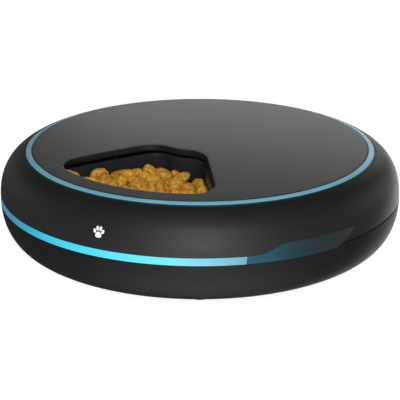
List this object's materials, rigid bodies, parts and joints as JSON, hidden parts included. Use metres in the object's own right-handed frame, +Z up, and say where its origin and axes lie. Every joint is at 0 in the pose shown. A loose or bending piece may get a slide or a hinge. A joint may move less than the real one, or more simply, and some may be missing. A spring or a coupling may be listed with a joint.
{
  "type": "automatic pet feeder",
  "caption": "Low round automatic pet feeder: domed lift-off lid with one wedge opening over a motor-turned compartment tray, side light band, display window and rubber feet.",
  "frame": {"origin": "on the floor under the middle of the casing", "axes": "+Z up along the tray's axis, -Y towards the front, with the display window at the front right"},
  "size_m": [0.32, 0.32, 0.0846],
  "materials": {
    "shell_black": "satin moulded, fine texture",
    "shell_upper": "satin moulded, fine texture",
    "lid_grey": "matt moulded",
    "trim_blue": "satin tinted",
    "light_guide": "translucent, lit",
    "window_tint": "smoked, semi-gloss",
    "rubber_black": "matt",
    "tray_grey": "smooth moulded",
    "steel": "bright",
    "motor_can": "drawn can",
    "bush_brass": "machined",
    "gear_natural": "natural acetal",
    "board_green": "solder mask",
    "component_black": "moulded",
    "flex_white": "coated",
    "cell_green": "printed sleeve",
    "wire_red": "insulation",
    "switch_white": "moulded"
  },
  "bodies": {
    "casing": {"base_shell": "shell_black", "upper_shell": "shell_upper", "well_deck": "shell_black", "side_light_band": "light_guide", "display_window": "window_tint", "trim_ring": "trim_blue", "rubber_feet": "rubber_black", "casing_screws": "steel", "deck_screws": "steel", "spindle": "steel", "idler_axle": "steel", "hub_bush": "bush_brass", "gear_motor": "motor_can", "motor_screws": "steel", "main_board": "board_green", "board_parts": "component_black", "board_screws": "steel", "index_sensor": "component_black", "sounder": "component_black", "led_strip": "flex_white", "display_board": "board_green", "display_module": "component_black", "wire_looms": "wire_red", "battery_cells": "cell_green", "battery_springs": "steel", "battery_plates": "steel", "dc_jack": "component_black", "jack_pin": "steel", "switch_body": "component_black"},
    "tray": {"drive_hub": "gear_natural", "output_gear": "gear_natural", "index_disc": "component_black", "hub_screw": "steel", "tray_bowl": "tray_grey", "divider_insert": "tray_grey"},
    "idler": {"idler_gear": "gear_natural"},
    "motor_rotor": {"motor_pinion": "bush_brass", "motor_shaft": "steel"},
    "lid": {"lid": "lid_grey"},
    "battery_door": {"battery_door": "shell_black"},
    "power_switch": {"switch_slider": "switch_white"}
  },
  "joints": [
    {"name": "tray_spin", "type": "hinge", "parent": "casing", "child": "tray", "pos_m": [0, 0, 0.037], "axis": [0, 0, 1], "continuous": true},
    {"name": "idler_spin", "type": "hinge", "parent": "casing", "child": "idler", "pos_m": [-0.04616, -0.00814, 0.016], "axis": [0, 0, 1], "continuous": true},
    {"name": "motor_spin", "type": "hinge", "parent": "casing", "child": "motor_rotor", "pos_m": [-0.07279, -0.02678, 0.012], "axis": [0, 0, 1], "continuous": true},
    {"name": "lid_lift", "type": "slide", "parent": "casing", "child": "lid", "axis": [0, 0, 1], "range_m": [0, 0.12]},
    {"name": "battery_door_hinge", "type": "hinge", "parent": "casing", "child": "battery_door", "pos_m": [0, 0.1023, 0.0063], "axis": [1, 0, 0], "range_deg": [0, 80]},
    {"name": "power_switch_slide", "type": "slide", "parent": "casing", "child": "power_switch", "axis": [1, 0, 0], "range_m": [0, 0.004]}
  ],
  "couplings": [
    {"joint": "idler_spin", "follows": "tray_spin", "ratio": -4},
    {"joint": "motor_spin", "follows": "tray_spin", "ratio": 13.333}
  ]
}
